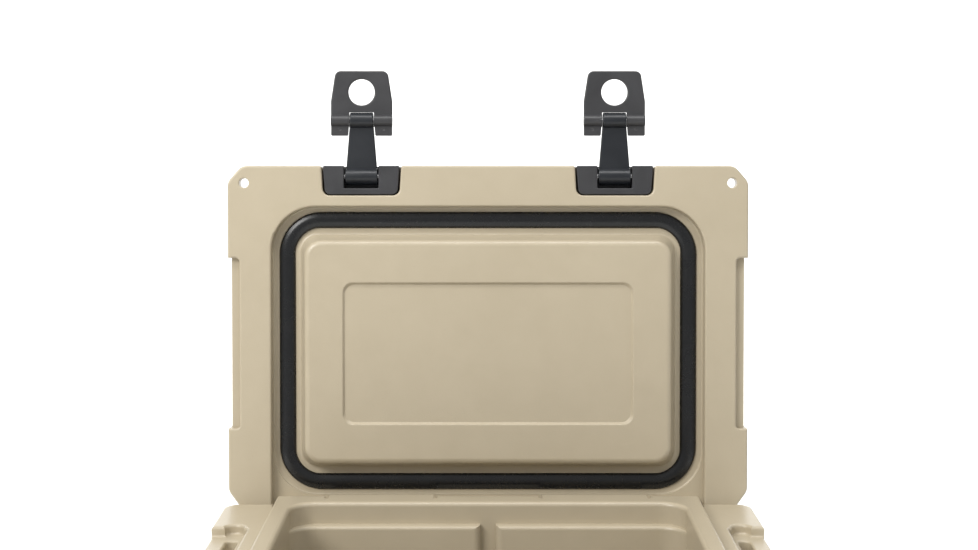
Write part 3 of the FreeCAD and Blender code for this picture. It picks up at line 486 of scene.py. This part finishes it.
def drain_plug_piece():
    low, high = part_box("drain_plug")
    axis_y = (low.y + high.y) / 2
    axis_z = (low.z + high.z) / 2
    wing_x = high.x
    head_x = wing_x - 0.0040
    seat_x = head_x - 0.0043
    stem_r = PLUG_STEM_R
    mesh = bmesh.new()

    def turned(x, radius, scallop):
        ring = []
        for i in range(PLUG_SIDES):
            a = 2 * math.pi * i / PLUG_SIDES
            r = radius - scallop * max(0.0, math.cos(PLUG_SCALLOPS * a)) ** 1.5
            ring.append(mesh.verts.new((x, axis_y + r * math.cos(a), axis_z + r * math.sin(a))))
        return ring

    profile = [(low.x, stem_r - 0.0010, 0.0), (low.x + 0.0010, stem_r, 0.0)]
    lead = (seat_x - low.x - 0.0025) / PLUG_TURNS
    for k in range(PLUG_TURNS):
        start = low.x + 0.0014 + k * lead
        profile += [(start, stem_r, 0.0), (start + 0.35 * lead, stem_r - 0.0009, 0.0),
                    (start + 0.55 * lead, stem_r - 0.0009, 0.0), (start + 0.9 * lead, stem_r, 0.0)]
    profile += [(seat_x - 0.0003, stem_r, 0.0), (seat_x, PLUG_HEAD_R - 0.0006, 0.0),
                (seat_x + 0.0005, PLUG_HEAD_R, 0.0008), (head_x - 0.0011, PLUG_HEAD_R, 0.0011),
                (head_x - 0.0004, PLUG_HEAD_R - 0.0004, 0.0008), (head_x, PLUG_HEAD_R - 0.0014, 0.0002),
                (head_x, 0.0128, 0.0), (head_x - 0.0009, 0.0120, 0.0), (head_x - 0.0009, 0.0040, 0.0)]
    rings = [turned(*point) for point in profile]
    for one, other in zip(rings, rings[1:]):
        bridge(mesh, one, other)
    mesh.faces.new(rings[0])
    mesh.faces.new(rings[-1])
    wing = bmesh.ops.create_cube(mesh, size=1.0)["verts"]
    bmesh.ops.scale(mesh, verts=wing, vec=WING_SIZE)
    bmesh.ops.translate(mesh, verts=wing, vec=(wing_x - WING_SIZE[0] / 2, axis_y, axis_z))
    edges = [e for e in mesh.edges if all(v in set(wing) for v in e.verts)]
    bmesh.ops.bevel(mesh, geom=edges, offset=0.0013, segments=4, affect="EDGES")
    plug = new_piece("drain_plug_turned", mesh, fitting_black, "drain_plug", "drain_black", "drain_plug")
    plug.data.shade_smooth()
    plug.data.set_sharp_from_angle(angle=math.radians(40.0))


drain_plug_piece()


# ---- hinge caps ----
# Small nylon caps pressed into the outer knuckles over the ends of the rod.
# They come in the latch parts' black and sit just below the knuckle's face.
cap_black = moulded_nylon("cap_black", (0.030, 0.030, 0.032), (0.044, 0.044, 0.047),
                          0.40, 0.52, 1100.0, 0.00006)
put_on(cap_black, "hinge_caps")


# ---- lid seal ----
# An extruded rubber section, bent into a ring, joined once at the rear and pressed into the lid's groove.
# Its face is a soft crown between two low shoulders, so it flattens on the body's rim when the lid is shut.
gasket_rubber = black_rubber("gasket_rubber", (0.0065, 0.0070, 0.0080), (0.0085, 0.0090, 0.0100),
                             0.25, 0.29, 500.0, 0.000003)

LID_OPEN = math.radians(-95.0)
SEAL_WIDTH = 0.0156
SEAL_CORNER = 0.0420
SEAL_CROWN = ((-0.50, 0.00), (-0.50, 0.42), (-0.485, 0.62), (-0.455, 0.76), (-0.42, 0.83), (-0.38, 0.86),
              (-0.33, 0.88), (-0.25, 0.94), (-0.15, 0.985), (-0.05, 1.0), (0.05, 1.0), (0.15, 0.985),
              (0.25, 0.94), (0.33, 0.88), (0.38, 0.86), (0.42, 0.83), (0.455, 0.76), (0.485, 0.62),
              (0.50, 0.42), (0.50, 0.00))


def opened(x, y, z):
    """Where a point of the shut lid lies when the lid rests open."""
    return Vector((x, *(Matrix.Rotation(LID_OPEN, 2) @ (Vector((y, z)) - hinge.yz) + hinge.yz)))


def shut(point):
    """Where a point of the open lid lies when the lid is shut."""
    turned = Matrix.Rotation(-LID_OPEN, 2) @ (Vector((point[1], point[2])) - hinge.yz) + hinge.yz
    return Vector((point[0], *turned))


def seal_piece():
    corners = [shut(v.co) for v in nodes["lid_gasket"].data.vertices]
    low = Vector([min(c[k] for c in corners) for k in range(3)])
    high = Vector([max(c[k] for c in corners) for k in range(3)])
    middle_y = (low.y + high.y) / 2
    half_x = (high.x - low.x) / 2 - SEAL_WIDTH / 2
    half_y = (high.y - low.y) / 2 - SEAL_WIDTH / 2
    radius = SEAL_CORNER - SEAL_WIDTH / 2
    tall = high.z - low.z
    path = []
    for quarter, (sx, sy) in enumerate(((1, 1), (-1, 1), (-1, -1), (1, -1))):
        for step in range(25):
            turn = math.radians(90.0 * (quarter + step / 24))
            centre = Vector((sx * (half_x - radius), sy * (half_y - radius)))
            outward = Vector((math.cos(turn), math.sin(turn)))
            path.append((centre + radius * outward, outward))
    mesh = bmesh.new()
    rings = []
    for spot, outward in path:
        ring = []
        for across, up in SEAL_CROWN:
            place = spot + outward * (across * SEAL_WIDTH)
            ring.append(mesh.verts.new(opened(place.x, middle_y + place.y, high.z - up * tall)))
        rings.append(ring)
    for i in range(len(rings)):
        bridge(mesh, rings[i], rings[(i + 1) % len(rings)])
    ring = new_piece("lid_seal", mesh, gasket_rubber, "lid", "gasket_rubber", "lid_gasket")
    ring.data.shade_smooth()
    ring.data.set_sharp_from_angle(angle=math.radians(50.0))
    return middle_y + half_y, low.z, high.z


def seal_join(run_y, face_z, back_z):
    """The vulcanised butt join: a thin raised flash across the section."""
    tall = back_z - face_z
    mesh = bmesh.new()
    rings = []
    for x, grown in ((-0.0005, 0.0), (-0.0002, 0.00016), (0.0002, 0.00016), (0.0005, 0.0)):
        ring = []
        for across, up in SEAL_CROWN:
            lift = grown if 0 < up else 0.0
            y = run_y + across * (SEAL_WIDTH + 2 * grown)
            ring.append(mesh.verts.new(opened(x, y, back_z - up * tall - lift)))
        rings.append(ring)
    for one, other in zip(rings, rings[1:]):
        bridge(mesh, one, other)
    mesh.faces.new(rings[0])
    mesh.faces.new(rings[-1])
    new_piece("lid_seal_join", mesh, gasket_rubber, "lid", "gasket_rubber")


seal_join(*seal_piece())


# ---- latches ----
# Injection-moulded nylon: a housing let into the lid, a link that swings in it, and a pull lever on its end.
# The lever's tabs hook under the keeper on the body, and pressing the lever down pulls the lid onto its seal.
# The mould's ejector pins leave a round mark on each tab.
latch_black = moulded_nylon("latch_black", (0.030, 0.030, 0.032), (0.040, 0.040, 0.043),
                            0.34, 0.44, 1300.0, 0.00010)
link_black = moulded_nylon("link_black", (0.006, 0.008, 0.011), (0.012, 0.014, 0.018),
                           0.32, 0.42, 1300.0, 0.00005)
put_on(latch_black, "keeper_left", "keeper_right", "latch_housing_left", "latch_housing_right",
       "latch_lever_left", "latch_lever_right")
put_on(link_black, "latch_link_left", "latch_link_right")

TAB_FACE = 0.0025
MARK_SIDE = 0.0215
MARK_DOWN = 0.0088
MARK_PROFILE = ((0.00170, -0.0003), (0.00170, 0.00012), (0.00158, 0.00020), (0.00125, 0.00020),
                (0.00112, 0.00008), (0.00040, 0.00006))


def ejector_marks(side):
    """The round witness marks that the mould's ejector pins leave on a lever's two tabs."""
    joint = next(j for j in frame["joints"] if j["name"] == "lever_swing_" + side)
    pivot = shut(joint["pos_m"])
    mesh = bmesh.new()
    for offset in (-MARK_SIDE, MARK_SIDE):
        rings = []
        for radius, proud in MARK_PROFILE:
            ring = []
            for k in range(28):
                turn = 2 * math.pi * k / 28
                ring.append(mesh.verts.new(opened(pivot.x + offset + radius * math.cos(turn),
                                                  pivot.y + MARK_DOWN + radius * math.sin(turn),
                                                  pivot.z - TAB_FACE - proud)))
            rings.append(ring)
        for one, other in zip(rings, rings[1:]):
            bridge(mesh, one, other)
        mesh.faces.new(rings[0])
        mesh.faces.new(rings[-1])
    marks = new_piece("lever_marks_" + side, mesh, latch_black, "lever_" + side, "latch_black")
    marks.data.shade_smooth()
    marks.data.set_sharp_from_angle(angle=math.radians(50.0))


for side in ("left", "right"):
    ejector_marks(side)
